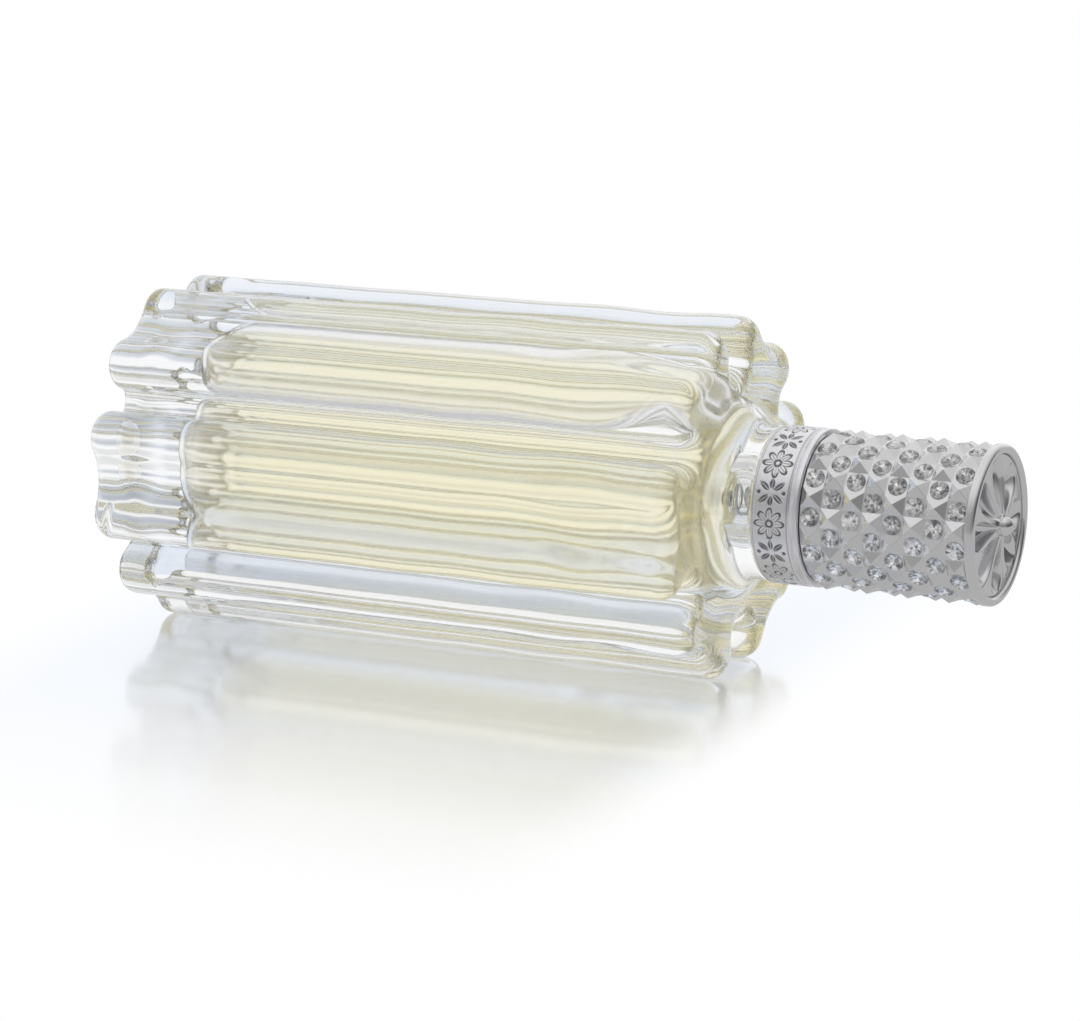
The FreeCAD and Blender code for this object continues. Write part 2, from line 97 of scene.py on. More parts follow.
# ---- collar and cap
COLLAR_R = 12.0
COLLAR_BOTTOM_Z = 107.1
COLLAR_LIP_Z = 113.2
COLLAR_TOP_Z = 114.6
SPIGOT_R = 9.15
SPIGOT_TOP_Z = 121.5
CAP_BOTTOM_Z = 114.7
CAP_COLUMNS = 24
CAP_ROWS = 8
CELL_HEIGHT = 3.24
FACET_R = 11.3
STUD_TIP_R = 12.2
CAP_BORE_R = 9.9
CAP_POCKET = 1.6            # depth of the recess that holds the medallion
CAP_WEB = 1.2               # thickness between that recess and the bore
FIT_GAP = 0.02              # between pieces that sit in or on each other
CRYSTAL_R = 1.45
CRYSTAL_DEPTH = 0.75
CRYSTAL_CROWN = 0.42
CRYSTAL_PLAY = 0.015        # room between a stone and its seat
END_RING_R = 12.0
END_RING_BORE = 10.6
END_RING_HEIGHT = 1.5
FLOWER_TOP_Z = 144.0
FLOWER_RIDGES = 8
FLOWER_RIM_HEIGHT = 0.75
BOSS_R = 1.6
BOSS_STANDS = 1.75          # how far the boss stands above the inner ends of the ridges
CAP_TOP_Z = CAP_BOTTOM_Z + CAP_ROWS * CELL_HEIGHT
CELL_FACE_R = FACET_R * math.cos(math.pi / CAP_COLUMNS)

# ---- pump
SPRING_LOW_Z = 100.5
SPRING_HIGH_Z = 107.9


# ======================================================================= mesh tools

def new_object(name, vertices, faces, smooth=True):
    """A mesh object from millimetre points."""
    mesh = bpy.data.meshes.new(name)
    points = np.asarray(vertices, float) * MM
    mesh.from_pydata(points.tolist(), [], faces)
    mesh.validate()
    piece = bpy.data.objects.new(name, mesh)
    bpy.context.scene.collection.objects.link(piece)
    mesh.polygons.foreach_set("use_smooth", [smooth] * len(mesh.polygons))
    mesh.update()
    return piece


def place(piece, body, node):
    """Turns the faces outwards; the piece then stands for one CAD node and rides on its body."""
    work = bmesh.new()
    work.from_mesh(piece.data)
    bmesh.ops.recalc_face_normals(work, faces=work.faces)
    work.to_mesh(piece.data)
    work.free()
    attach(piece, body)
    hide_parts(node)
    return piece


def grid_faces(rows, columns, first=0):
    """Quads between neighbouring rings of points; every ring closes on itself."""
    faces = []
    for row in range(rows - 1):
        low = first + row * columns
        high = low + columns
        for column in range(columns):
            after = (column + 1) % columns
            faces.append((low + column, low + after, high + after, high + column))
    return faces


def flat_faces(low_ring, high_ring, first_low, first_high):
    """Triangles that fill the flat between two rings of points, one of them a circle inside the other.

    Triangles with all their corners on the circle lie in its hole, and are left out.
    """
    count = len(low_ring)
    flat = [Vector(p[:2]) for p in (*low_ring, *high_ring)]
    rims = [(start + k, start + (k + 1) % count) for start in (0, count) for k in range(count)]
    inside, tolerance = 1, 1e-6
    _, _, triangles, sources, _, _ = delaunay_2d_cdt(flat, rims, [], inside, tolerance)
    triangles = [[sources[corner][0] for corner in triangle] for triangle in triangles]
    inner_first = 0 if flat[0].length < flat[count].length else count
    names = [first_low + k for k in range(count)] + [first_high + k for k in range(count)]
    return [tuple(names[corner] for corner in triangle) for triangle in triangles
            if not all(0 <= corner - inner_first < count for corner in triangle)]


def ring_stack(name, rings, start_pole=None, end_pole=None, loop=False, flats=()):
    """A skin over rings of points, each (columns, 3), closed by poles or joined end to end.

    flats lists the rows that are joined to the next row by a flat of any shape.
    """
    rings = np.asarray(rings)
    rows, columns = rings.shape[:2]
    vertices = rings.reshape(-1, 3).tolist()
    faces = []
    for row in range(rows - 1):
        low = row * columns
        if row in flats:
            faces += flat_faces(rings[row], rings[row + 1], low, low + columns)
        else:
            faces += grid_faces(2, columns, low)
    last = (rows - 1) * columns
    if loop:
        for column in range(columns):
            after = (column + 1) % columns
            faces.append((last + column, last + after, after, column))
    if start_pole is not None:
        vertices.append(start_pole)
        faces += [(len(vertices) - 1, (c + 1) % columns, c) for c in range(columns)]
    if end_pole is not None:
        vertices.append(end_pole)
        faces += [(len(vertices) - 1, last + c, last + (c + 1) % columns) for c in range(columns)]
    return new_object(name, vertices, faces)


def arc(centre, radius, start, end, steps):
    """Points (radius, height) along an arc, angles in degrees."""
    angles = np.radians(np.linspace(start, end, steps + 1))
    return [(centre[0] + radius * math.cos(a), centre[1] + radius * math.sin(a)) for a in angles]


def straight(start, end, steps):
    """Points (radius, height) between two points, without the first."""
    return [(start[0] + (end[0] - start[0]) * k / steps, start[1] + (end[1] - start[1]) * k / steps)
            for k in range(1, steps + 1)]


def turned(name, profile, columns):
    """A solid of revolution from a closed outline of (radius, height) points."""
    angles = np.arange(columns) * 2 * math.pi / columns
    rings = [circle(radius, height, angles) for radius, height in profile]
    return ring_stack(name, rings, loop=True)


def circle(radius, height, angles):
    """A ring of points at the angles; radius is one number, or one for each angle."""
    return np.stack([radius * np.cos(angles), radius * np.sin(angles), np.full_like(angles, height)], -1)


def ramp(value, start, end):
    """0 up to start, 1 from end on, and straight between them."""
    return min(1.0, max(0.0, (value - start) / (end - start)))


# ============================================================================ glass

def rib_points():
    """Points and outward normals round the ribbed section, from its three kinds of arc."""
    crease_steps, lobe_steps, flute_steps = 14, 34, 14
    half = math.pi / RIBS
    lobe_angle = math.radians(LOBE_ANGLE)
    lobe = (TIP_R - LOBE_R) * np.array([math.cos(lobe_angle), math.sin(lobe_angle)])

    def hollow(angle, bottom_r):
        """Centre and radius of the hollow arc on the radial line at angle."""
        ray = np.array([math.cos(angle), math.sin(angle)])
        along = lobe @ ray
        squares = LOBE_R ** 2 - lobe @ lobe - bottom_r ** 2 + 2 * bottom_r * along
        radius = squares / (2 * (bottom_r - along - LOBE_R))
        return ray * (bottom_r + radius), radius

    crease, crease_r = hollow(0.0, CREASE_BOTTOM_R)
    flute, flute_r = hollow(half, FLUTE_BOTTOM_R)
    to_crease = math.atan2(*(crease - lobe)[::-1])
    to_flute = math.atan2(*(flute - lobe)[::-1])
    points, normals = [], []

    def add(centre, radius, start, end, steps, outward):
        for k in range(steps):
            angle = start + (end - start) * k / steps
            ray = np.array([math.cos(angle), math.sin(angle)])
            points.append(centre + radius * ray)
            normals.append(ray * outward)

    add(crease, crease_r, math.pi, to_crease + math.pi, crease_steps, -1)
    add(lobe, LOBE_R, to_crease, to_flute, lobe_steps, 1)
    add(flute, flute_r, to_flute - math.pi, half - math.pi, flute_steps, -1)
    points.append(flute + flute_r * -np.array([math.cos(half), math.sin(half)]))
    normals.append(np.array([math.cos(half), math.sin(half)]))
    return half, np.array(points), np.array(normals)


def turn2(vectors, angle):
    """Plane vectors turned by an angle."""
    c, s = math.cos(angle), math.sin(angle)
    return vectors @ np.array([[c, s], [-s, c]])


def ribbed_section():
    """The whole section as points and normals, with a crease facing +Y."""
    half, points, normals = rib_points()
    flip = np.array([1.0, -1.0])
    mirrored_points = turn2(points[::-1] * flip, 2 * half)
    mirrored_normals = turn2(normals[::-1] * flip, 2 * half)
    one = np.concatenate([points[:-1], mirrored_points[:-1]])
    one_normals = np.concatenate([normals[:-1], mirrored_normals[:-1]])
    start = math.pi / 2
    ring = np.concatenate([turn2(one, start + 2 * half * k) for k in range(RIBS)])
    ring_normals = np.concatenate([turn2(one_normals, start + 2 * half * k) for k in range(RIBS)])
    return ring, ring_normals


SECTION, SECTION_NORMALS = ribbed_section()
SECTION_ANGLES = np.arctan2(SECTION[:, 1], SECTION[:, 0])
COLUMNS = len(SECTION)
EVEN_ANGLES = math.atan2(SECTION[0, 1], SECTION[0, 0]) + np.arange(COLUMNS) * 2 * math.pi / COLUMNS


def waves(terms, angles, height):
    """Sum of the sines that terms lists, round the body at a height."""
    return sum(size * np.sin(count * angles + pitch * height + phase)
               for size, count, pitch, phase in terms)


def rib_ring(inset, height):
    """The section moved in by inset, at a height, with the slight ripple of pressed glass."""
    fade = ramp(height, 0.0, RIPPLE_FADE_FOOT) * ramp(SHOULDER_Z - height, 0.0, RIPPLE_FADE_SHOULDER)
    ripple = waves(RIPPLE, SECTION_ANGLES, height)
    ripple += ramp(height, *RIPPLE_GROWS) * waves(RIPPLE_ADDED_ABOVE, SECTION_ANGLES, height)
    flat = SECTION - SECTION_NORMALS * (inset + ripple * fade)[:, None]
    return np.column_stack([flat, np.full(len(flat), height)])


def wall_wave(height):
    """Unevenness of the blown inner wall, which follows the ribs a little; glass and liquid share it."""
    near_shoulder = ramp(height, *SWIRL_GROWS) ** 2
    ribs = (0.45 + 0.5 * near_shoulder) * np.cos(RIBS * (EVEN_ANGLES - math.pi / 2))
    swirl = near_shoulder * waves(SWIRL_ADDED_ABOVE, EVEN_ANGLES, height)
    return ribs + waves(SWELL, EVEN_ANGLES, height) + swirl


def cavity_profile(grow=0.0):
    """(radius, height) points of the hollow from the throat down to the floor."""
    wall = CAVITY_R + grow
    roof = CAVITY_ROOF_Z + grow
    floor = CAVITY_FLOOR_Z - grow
    lean = math.radians(CAVITY_SLOPE_TURN)
    reach = CAVITY_SLOPE_R - CAVITY_ROOF_ROUND
    round_z = CAVITY_ROOF_Z - CAVITY_ROOF_ROUND
    slope_z = round_z - reach * math.sin(lean)
    round_r = CAVITY_R - CAVITY_SLOPE_R + reach * math.cos(lean)
    low = CAVITY_FLOOR_ROUND + grow
    throat = THROAT_ROUND - grow
    bore = BORE_R + grow
    points = arc((bore + throat, roof + throat), throat, 180, 270, 8)
    points += straight(points[-1], (round_r, roof), 3)
    points += arc((round_r, round_z), CAVITY_ROOF_ROUND + grow, 90, CAVITY_SLOPE_TURN, 14)[1:]
    points += arc((CAVITY_R - CAVITY_SLOPE_R, slope_z), CAVITY_SLOPE_R + grow, CAVITY_SLOPE_TURN, 0, 24)[1:]
    points += straight(points[-1], (wall, floor + low), 44)
    points += arc((wall - low, floor + low), low, 0, -90, 14)[1:]
    points += straight(points[-1], (FLOOR_MIDDLE_R, floor), 10)
    return points


def cavity_rings(grow=0.0):
    """The hollow's rings; the wall's unevenness dies out towards the bore and the floor's middle."""
    rings = []
    for radius, height in cavity_profile(grow):
        fade = ramp(radius, BORE_R + 1.0, CAVITY_R) * ramp(radius, FLOOR_MIDDLE_R, FLOOR_MIDDLE_R + 6.0)
        rings.append(circle(radius + wall_wave(height) * fade, height, EVEN_ANGLES))
    return rings


def outer_rings():
    """Foot, ribbed wall, shoulder, flared seat ring, crimp neck and bore, from the foot's middle up.

    Returns the rings and the numbers of the two that are followed by a flat.
    """
    rings = []
    for radius, _ in straight((0.0, 0.0), (FOOT_HOLLOW_R, 0.0), 13):
        rings.append(circle(radius, FOOT_HOLLOW * (1 - (radius / FOOT_HOLLOW_R) ** 2) ** 2, EVEN_ANGLES))
    flats = [len(rings) - 1]
    for inset, height in arc((FOOT_ROUND, FOOT_ROUND), FOOT_ROUND, 270, 180, 10):
        rings.append(rib_ring(inset, height))
    top = SHOULDER_Z - SHOULDER_ROUND
    for height in np.linspace(FOOT_ROUND, top, 46)[1:-1]:
        rings.append(rib_ring(0.0, height))
    for inset, height in arc((SHOULDER_ROUND, top), SHOULDER_ROUND, 180, 90, 12):
        rings.append(rib_ring(inset, height))
    flats.append(len(rings) - 1)
    flare_r = NECK_RING_R + NECK_RING_ROUND
    flare_z = SHOULDER_Z + NECK_RING_ROUND
    neck_edge = 0.5
    profile = arc((flare_r, flare_z), NECK_RING_ROUND, 270, 180, 14)
    profile += straight(profile[-1], (NECK_RING_R, SEAT_Z - neck_edge), 3)
    profile += arc((NECK_RING_R - neck_edge, SEAT_Z - neck_edge), neck_edge, 0, 90, 5)[1:]
    profile += straight(profile[-1], (NECK_R + neck_edge, SEAT_Z), 3)
    profile += arc((NECK_R + neck_edge, SEAT_Z + neck_edge), neck_edge, 270, 180, 5)[1:]
    profile += straight(profile[-1], (NECK_R, BEAD_Z), 3)
    profile += straight(profile[-1], (BEAD_R, BEAD_Z + BEAD_R - NECK_R), 4)
    lip, bore_edge = 0.8, 0.4
    profile += straight(profile[-1], (BEAD_R, NECK_TOP_Z - lip), 2)
    profile += arc((BEAD_R - lip, NECK_TOP_Z - lip), lip, 0, 90, 6)[1:]
    profile += straight(profile[-1], (BORE_R + bore_edge, NECK_TOP_Z), 2)
    profile += arc((BORE_R + bore_edge, NECK_TOP_Z - bore_edge), bore_edge, 90, 180, 4)[1:]
    profile += straight(profile[-1], (BORE_R, CAVITY_ROOF_Z + THROAT_ROUND), 13)[:-1]
    rings += [circle(radius, height, EVEN_ANGLES) for radius, height in profile]
    return rings, flats


def glass_flask():
    """The whole flask as one closed skin: outside, neck, bore and cavity."""
    outside, flats = outer_rings()
    rings = outside + cavity_rings()
    foot_pole, floor_pole = (0, 0, FOOT_HOLLOW), (0, 0, CAVITY_FLOOR_Z)
    piece = ring_stack("glass_flask_body", rings, foot_pole, floor_pole, flats=flats)
    return place(piece, "bottle", "glass_flask")


def perfume():
    """The liquid up to its surface in the throat, and in the pump's valve room above that."""
    rings = cavity_rings(WET_OVERLAP)[::-1]
    top = BORE_R + WET_OVERLAP
    meniscus = 0.3
    surface = FILL_Z - meniscus
    valve_r, valve_top = BALL_ROOM_R + WET_OVERLAP, BALL_KEEPER_Z + 0.3
    neck = straight((top, CAVITY_ROOF_Z + THROAT_ROUND), (top, FILL_Z), 3)
    neck += [(top - 0.15, FILL_Z - 0.12), (top - 0.5, surface), (valve_r, surface), (valve_r, valve_top)]
    rings += [circle(radius, height, EVEN_ANGLES) for radius, height in neck]
    floor = CAVITY_FLOOR_Z - WET_OVERLAP
    piece = ring_stack("perfume_liquid", rings, (0, 0, floor), (0, 0, valve_top))
    return place(piece, "bottle", "perfume")


# =========================================================================== collar

def petal_flower(across, up, petals, radius):
    """How deep a daisy with outlined petals is cut, 0 to 1, round its own centre."""
    outline_width, line_width = 0.20, 0.17
    heart_r = 0.22 * radius
    reach = np.hypot(across, up)
    angle = np.arctan2(up, across)
    wave = np.abs(np.cos(petals * angle / 2)) ** 0.6
    edge = radius * (0.30 + 0.70 * wave)
    outline = np.exp(-((reach - edge) / outline_width) ** 4)
    on_petal = (reach > 0.34 * radius) * (reach < 0.85 * edge)
    vein = np.exp(-(np.sin(petals * angle / 2) * reach / line_width) ** 2) * on_petal
    heart = np.exp(-((reach - heart_r) / line_width) ** 4)
    return np.clip(outline * (reach < 1.2 * radius) + 0.8 * vein + heart, 0, 1)


def leaf(across, up, centre, tilt, length, width):
    """How deep a pointed leaf is cut, 0 to 1; tilt is its angle in degrees."""
    c, s = math.cos(math.radians(tilt)), math.sin(math.radians(tilt))
    along = (across - centre[0]) * c + (up - centre[1]) * s
    aside = (up - centre[1]) * c - (across - centre[0]) * s
    rib_width, rib_height, slope = 0.08, 0.75, 0.10
    half = width * np.clip(1 - (2 * along / length) ** 2, 0, 1)
    rib = np.exp(-(aside / rib_width) ** 2)
    inside = np.clip((half - np.abs(aside)) / slope, 0, 1)
    return inside * (1 - rib_height * rib)


def leaf_spray(across, up):
    """Six leaves fanned about two dots: the generic ornament between the daisies."""
    # One side's leaves: centre across and up, tilt, length, width.
    leaves = ((0.95, 1.15, 50, 2.3, 0.46), (0.95, -1.15, -50, 2.3, 0.46), (1.3, 0.0, 0, 1.9, 0.42))
    dot_height, dot_r, dot_slope = 2.0, 0.34, 0.1
    depth = np.zeros_like(across)
    for side in (-1, 1):
        for x, y, tilt, length, width in leaves:
            depth = np.maximum(depth, leaf(across, up, (side * x, y), side * tilt, length, width))
        reach = np.hypot(across, up - side * dot_height)
        depth = np.maximum(depth, np.clip((dot_r - reach) / dot_slope, 0, 1))
    return depth


def engraving(around, height):
    """Depth of the collar's ornament, 0 to 1, at mm round the collar and mm from its middle."""
    repeats, petals, daisy_r = 8, 8, 2.3
    period = 2 * math.pi * COLLAR_R / repeats
    from_daisy = (around + period / 2) % period - period / 2
    from_spray = around % period - period / 2
    depth = np.maximum(petal_flower(from_daisy, height, petals, daisy_r), leaf_spray(from_spray, height))
    border, line_width, line_depth = 2.75, 0.07, 0.7
    for edge in (-border, border):
        depth = np.maximum(depth, np.exp(-((height - edge) / line_width) ** 2) * line_depth)
    return depth


def collar():
    """Engraved ring, plain lip and the sleeve that the cap slides over."""
    columns, depth = 1200, 0.2
    angles = np.arange(columns) * 2 * math.pi / columns
    edge, fillet, web = 0.25, 0.15, 1.1
    wall_in, spigot_in = COLLAR_R - 0.8, SPIGOT_R - 0.6
    groove = ((0.12, -0.08), (0.22, 0.08), (0.12, 0.22))    # its depth, and height from the lip
    outer = arc((COLLAR_R - edge, COLLAR_BOTTOM_Z + edge), edge, -90, 0, 4)
    band = straight(outer[-1], (COLLAR_R, COLLAR_LIP_Z - 0.15), 72)
    rest = [(COLLAR_R - inward, COLLAR_LIP_Z + lift) for inward, lift in groove]
    rest += arc((COLLAR_R - edge, COLLAR_TOP_Z - edge), edge, 0, 90, 5)
    rest += straight(rest[-1], (SPIGOT_R + fillet, COLLAR_TOP_Z), 3)
    rest += arc((SPIGOT_R + fillet, COLLAR_TOP_Z + fillet), fillet, 270, 180, 3)[1:]
    rest += straight(rest[-1], (SPIGOT_R, SPIGOT_TOP_Z - edge), 4)
    rest += arc((SPIGOT_R - edge, SPIGOT_TOP_Z - edge), edge, 0, 90, 4)[1:]
    rest += [(spigot_in, SPIGOT_TOP_Z - 0.1), (spigot_in, COLLAR_TOP_Z - web),
             (wall_in, COLLAR_TOP_Z - web), (wall_in, COLLAR_BOTTOM_Z)]
    middle = (COLLAR_BOTTOM_Z + COLLAR_LIP_Z) / 2
    cuts = [np.zeros(columns) for _ in outer]
    cuts += [engraving(angles * COLLAR_R, np.full(columns, height - middle)) for _, height in band]
    cuts += [np.zeros(columns) for _ in rest]
    rings = [circle(radius - depth * cut, height, angles)
             for (radius, height), cut in zip(outer + band + rest, cuts)]
    piece = ring_stack("engraved_collar", rings, loop=True)
    tone = piece.data.attributes.new("engraved", "FLOAT", "POINT")
    tone.data.foreach_set("value", np.concatenate(cuts).astype(np.float32))
    return place(piece, "bottle", "collar")


# ============================================================================= pump

def return_spring():
    """Helix of round wire whose end turns lie flat."""
    mean_r, wire_r, clearance = 2.2, 0.25, 0.02
    first, last = SPRING_LOW_Z + wire_r + clearance, SPRING_HIGH_Z - wire_r - clearance
    turns, flat_turns, ground_share, steps, around = 5.5, 0.75, 0.55, 220, 14
    rings = []
    for step in range(steps + 1):
        share = step / steps
        angle = 2 * math.pi * turns * share
        climb = ramp(share * turns, flat_turns, turns - flat_turns)
        outward = np.array([math.cos(angle), math.sin(angle), 0.0])
        centre = outward * mean_r + np.array([0.0, 0.0, first + (last - first) * climb])
        turn = np.arange(around) * 2 * math.pi / around
        is_ground = min(share, 1 - share) * turns < flat_turns
        thin = wire_r * (ground_share if is_ground else 1.0)
        rings.append(centre + np.outer(np.cos(turn), outward) * wire_r
                     + np.outer(np.sin(turn), (0, 0, 1)) * thin)
    piece = ring_stack("pump_return_spring", rings, tuple(rings[0].mean(0)), tuple(rings[-1].mean(0)))
    place(piece, "bottle", "return_spring")
    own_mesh(piece)
    return piece


def crimp_ferrule():
    """Thin aluminium cup with rounded corners, folded in under the glass bead."""
    wall, cup_r, turret_r, hole_r = 0.4, 8.0, 5.37, 2.2
    cup_z, turret_z, fold_z, fold_in_r = 115.4, 118.4, 109.4, 6.6
    bend, crease = 0.7, 0.5
    outside = [(fold_in_r, fold_z + 0.05), (cup_r - bend, fold_z)]
    outside += arc((cup_r - crease, fold_z + crease), crease, 270, 360, 5)[1:]
    outside += straight(outside[-1], (cup_r, cup_z - bend), 6)
    outside += arc((cup_r - bend, cup_z - bend), bend, 0, 90, 8)[1:]
    outside += straight(outside[-1], (turret_r + crease, cup_z), 2)
    outside += arc((turret_r + crease, cup_z + crease), crease, 270, 180, 6)[1:]
    outside += straight(outside[-1], (turret_r, turret_z - bend), 3)
    outside += arc((turret_r - bend, turret_z - bend), bend, 0, 90, 8)[1:]
    outside += straight(outside[-1], (hole_r, turret_z), 3)
    inner_cup, inner_turret = cup_r - wall, turret_r - wall
    inside = [(hole_r, turret_z - wall), (inner_turret, turret_z - wall), (inner_turret, cup_z - wall),
              (inner_cup, cup_z - wall), (inner_cup, fold_z + wall), (fold_in_r, fold_z + wall)]
    piece = turned("pump_crimp_ferrule", outside + inside, 160)
    return place(piece, "bottle", "crimp_ferrule")


# ============================================================================== cap

def holds_crystal(column, row):
    """Stones and pyramids take turns, as on a chessboard."""
    return (column + row) % 2 == 1


def cell_frame(column, row):
    """Middle of a cell's face, and its outward, sideways and up directions."""
    angle = (column + 0.5) * 2 * math.pi / CAP_COLUMNS
    outward = np.array([math.cos(angle), math.sin(angle), 0.0])
    sideways = np.array([-math.sin(angle), math.cos(angle), 0.0])
    middle = outward * CELL_FACE_R + np.array([0, 0, CAP_BOTTOM_Z + (row + 0.5) * CELL_HEIGHT])
    return middle, outward, sideways, np.array([0, 0, 1.0])


def cap_shell():
    """Faceted sleeve: pyramids and crystal seats in turn, with a plain bore and a pocket on top."""
    vertices, faces = [], []
    corner = {}
    for row in range(CAP_ROWS + 1):
        for column in range(CAP_COLUMNS):
            angle = column * 2 * math.pi / CAP_COLUMNS
            corner[column, row] = len(vertices)
            height = CAP_BOTTOM_Z + row * CELL_HEIGHT
            vertices.append((FACET_R * math.cos(angle), FACET_R * math.sin(angle), height))
    for column in range(CAP_COLUMNS):
        for row in range(CAP_ROWS):
            after = (column + 1) % CAP_COLUMNS
            ring = [corner[column, row], corner[after, row],
                    corner[after, row + 1], corner[column, row + 1]]
            middle, outward, sideways, up = cell_frame(column, row)
            if holds_crystal(column, row):
                crystal_seat(vertices, faces, ring, middle, outward, sideways, up)
            else:
                vertices.append(middle + outward * (STUD_TIP_R - CELL_FACE_R))
                tip = len(vertices) - 1
                faces += [(ring[k], ring[(k + 1) % 4], tip) for k in range(4)]
    close_cap_ends(vertices, faces, corner)
    piece = new_object("studded_cap_shell", vertices, faces, smooth=False)
    edges = piece.modifiers.new("soft_edges", "BEVEL")
    edges.width = 0.07 * MM
    edges.segments = 2
    edges.limit_method = "ANGLE"
    edges.angle_limit = math.radians(20)
    edges.harden_normals = True
    return place(piece, "cap", "cap_shell")


def crystal_seat(vertices, faces, ring, middle, outward, sideways, up):
    """A flat cell with a round bright-cut seat; the seat's first point faces the cell's first corner."""
    steps = 24
    quarter = steps // 4
    rims = []
    seat = ((CRYSTAL_R + CRYSTAL_PLAY, 0.0), (CRYSTAL_R * 0.55, -0.55),
            (CRYSTAL_R * 0.1, -CRYSTAL_DEPTH - 0.05))
    for radius, depth in seat:
        first = len(vertices)
        for k in range(steps):
            angle = -3 * math.pi / 4 + 2 * math.pi * k / steps
            ray = sideways * math.cos(angle) + up * math.sin(angle)
            vertices.append(middle + ray * radius + outward * depth)
        rims.append(first)
    for side in range(4):
        arc_points = [rims[0] + (side * quarter + k) % steps for k in range(quarter + 1)]
        faces.append((ring[side], ring[(side + 1) % 4], *reversed(arc_points)))
    for outer_rim, inner_rim in zip(rims, rims[1:]):
        for k in range(steps):
            after = (k + 1) % steps
            faces.append((outer_rim + k, outer_rim + after, inner_rim + after, inner_rim + k))
    faces.append(tuple(rims[-1] + k for k in range(steps)))


def close_cap_ends(vertices, faces, corner):
    """Joins the faceted skin to the round bore below and to the pocket above."""
    pocket_z = CAP_TOP_Z - CAP_POCKET
    web_z = pocket_z - CAP_WEB
    levels = [(CAP_BORE_R, CAP_BOTTOM_Z), (CAP_BORE_R, web_z),
              (END_RING_BORE, pocket_z), (END_RING_BORE, CAP_TOP_Z)]
    rims = []
    split = 4
    count = CAP_COLUMNS * split
    for radius, height in levels:
        rims.append(len(vertices))
        for k in range(count):
            angle = k * 2 * math.pi / count
            vertices.append((radius * math.cos(angle), radius * math.sin(angle), height))
    for skin_row, rim in ((0, rims[0]), (CAP_ROWS, rims[3])):
        for column in range(CAP_COLUMNS):
            after = (column + 1) % CAP_COLUMNS
            inner = [rim + (column * split + k) % count for k in range(split + 1)]
            faces.append((corner[column, skin_row], corner[after, skin_row], *reversed(inner)))
    for low, high in ((rims[0], rims[1]), (rims[2], rims[3])):
        faces += [(low + k, low + (k + 1) % count, high + (k + 1) % count, high + k) for k in range(count)]
    for rim in (rims[1], rims[2]):
        faces.append(tuple(rim + k for k in range(count)))


def brilliant():
    """Corner points and faces of one cut stone: table, crown, girdle, pavilion and point."""
    points = []
    table = (8, 0.58, CRYSTAL_CROWN, 0.0)
    crown = (8, 0.82, CRYSTAL_CROWN * 0.55, 0.5)
    girdle_top, girdle = (16, 1.0, 0.08, 0.0), (16, 1.0, 0.0, 0.0)
    pavilion = (8, 0.45, -CRYSTAL_DEPTH * 0.62, 0.5)
    for count, share, height, shift in (table, crown, girdle_top, girdle, pavilion):
        for k in range(count):
            angle = (k + shift) * 2 * math.pi / count
            radius = share * (CRYSTAL_R - FIT_GAP)
            points.append((radius * math.cos(angle), radius * math.sin(angle), height))
    points.append((0.0, 0.0, -CRYSTAL_DEPTH + FIT_GAP))
    work = bmesh.new()
    for point in points:
        work.verts.new(point)
    bmesh.ops.convex_hull(work, input=work.verts)
    bmesh.ops.dissolve_limit(work, angle_limit=math.radians(1), verts=work.verts, edges=work.edges)
    work.verts.ensure_lookup_table()
    work.verts.index_update()
    work.normal_update()
    corners = [tuple(v.co) for v in work.verts]
    faces = [tuple(v.index for v in face.verts) for face in work.faces]
    foiled = [face.normal.z < -0.1 for face in work.faces]
    work.free()
    return np.array(corners), faces, foiled


def cap_crystals():
    """The same stone in every other cell, as separate closed solids in one piece.

    The back of each stone is foiled, and each foil facet gets a painted tone, dark or bright, as painted
    sparkle.
    """
    stone, stone_faces, foiled = brilliant()
    painted_sparkle = random.Random(5)
    vertices, faces, painted_facet_tones = [], [], []
    for column in range(CAP_COLUMNS):
        for row in range(CAP_ROWS):
            if not holds_crystal(column, row):
                continue
            middle, outward, sideways, up = cell_frame(column, row)
            first = len(vertices)
            axes = np.array([sideways, up, outward])
            vertices += (stone @ axes + middle).tolist()
            faces += [tuple(first + index for index in face) for face in stone_faces]
            # Each facet draws a painted tone: painted shade at the dark end, a painted glint at the bright
            # end.
            painted_facet_tones += [painted_sparkle.choice((0.3, 0.75, 0.95, 1.0)) for _ in stone_faces]
    piece = new_object("cap_round_crystals", vertices, faces, smooth=False)
    tone = piece.data.attributes.new("painted_sparkle", "FLOAT", "FACE")
    tone.data.foreach_set("value", painted_facet_tones)
    stones = len(faces) // len(stone_faces)
    piece.data.polygons.foreach_set("material_index", [int(back) for back in foiled] * stones)
    return place(piece, "cap", "cap_crystals")


def cap_end_ring():
    """Polished bead round the cap's end."""
    low, high = CAP_TOP_Z + FIT_GAP, CAP_TOP_Z + END_RING_HEIGHT
    edge, inner_edge, chamfer = 0.65, 0.6, 0.12
    profile = [(END_RING_BORE, low), (END_RING_R - chamfer, low), (END_RING_R, low + chamfer)]
    profile += straight(profile[-1], (END_RING_R, high - edge), 2)
    profile += arc((END_RING_R - edge, high - edge), edge, 0, 90, 10)[1:]
    profile += arc((END_RING_BORE + inner_edge, high - inner_edge), inner_edge, 90, 180, 10)
    piece = turned("cap_end_bead", profile, 256)
    return place(piece, "cap", "cap_end_ring")


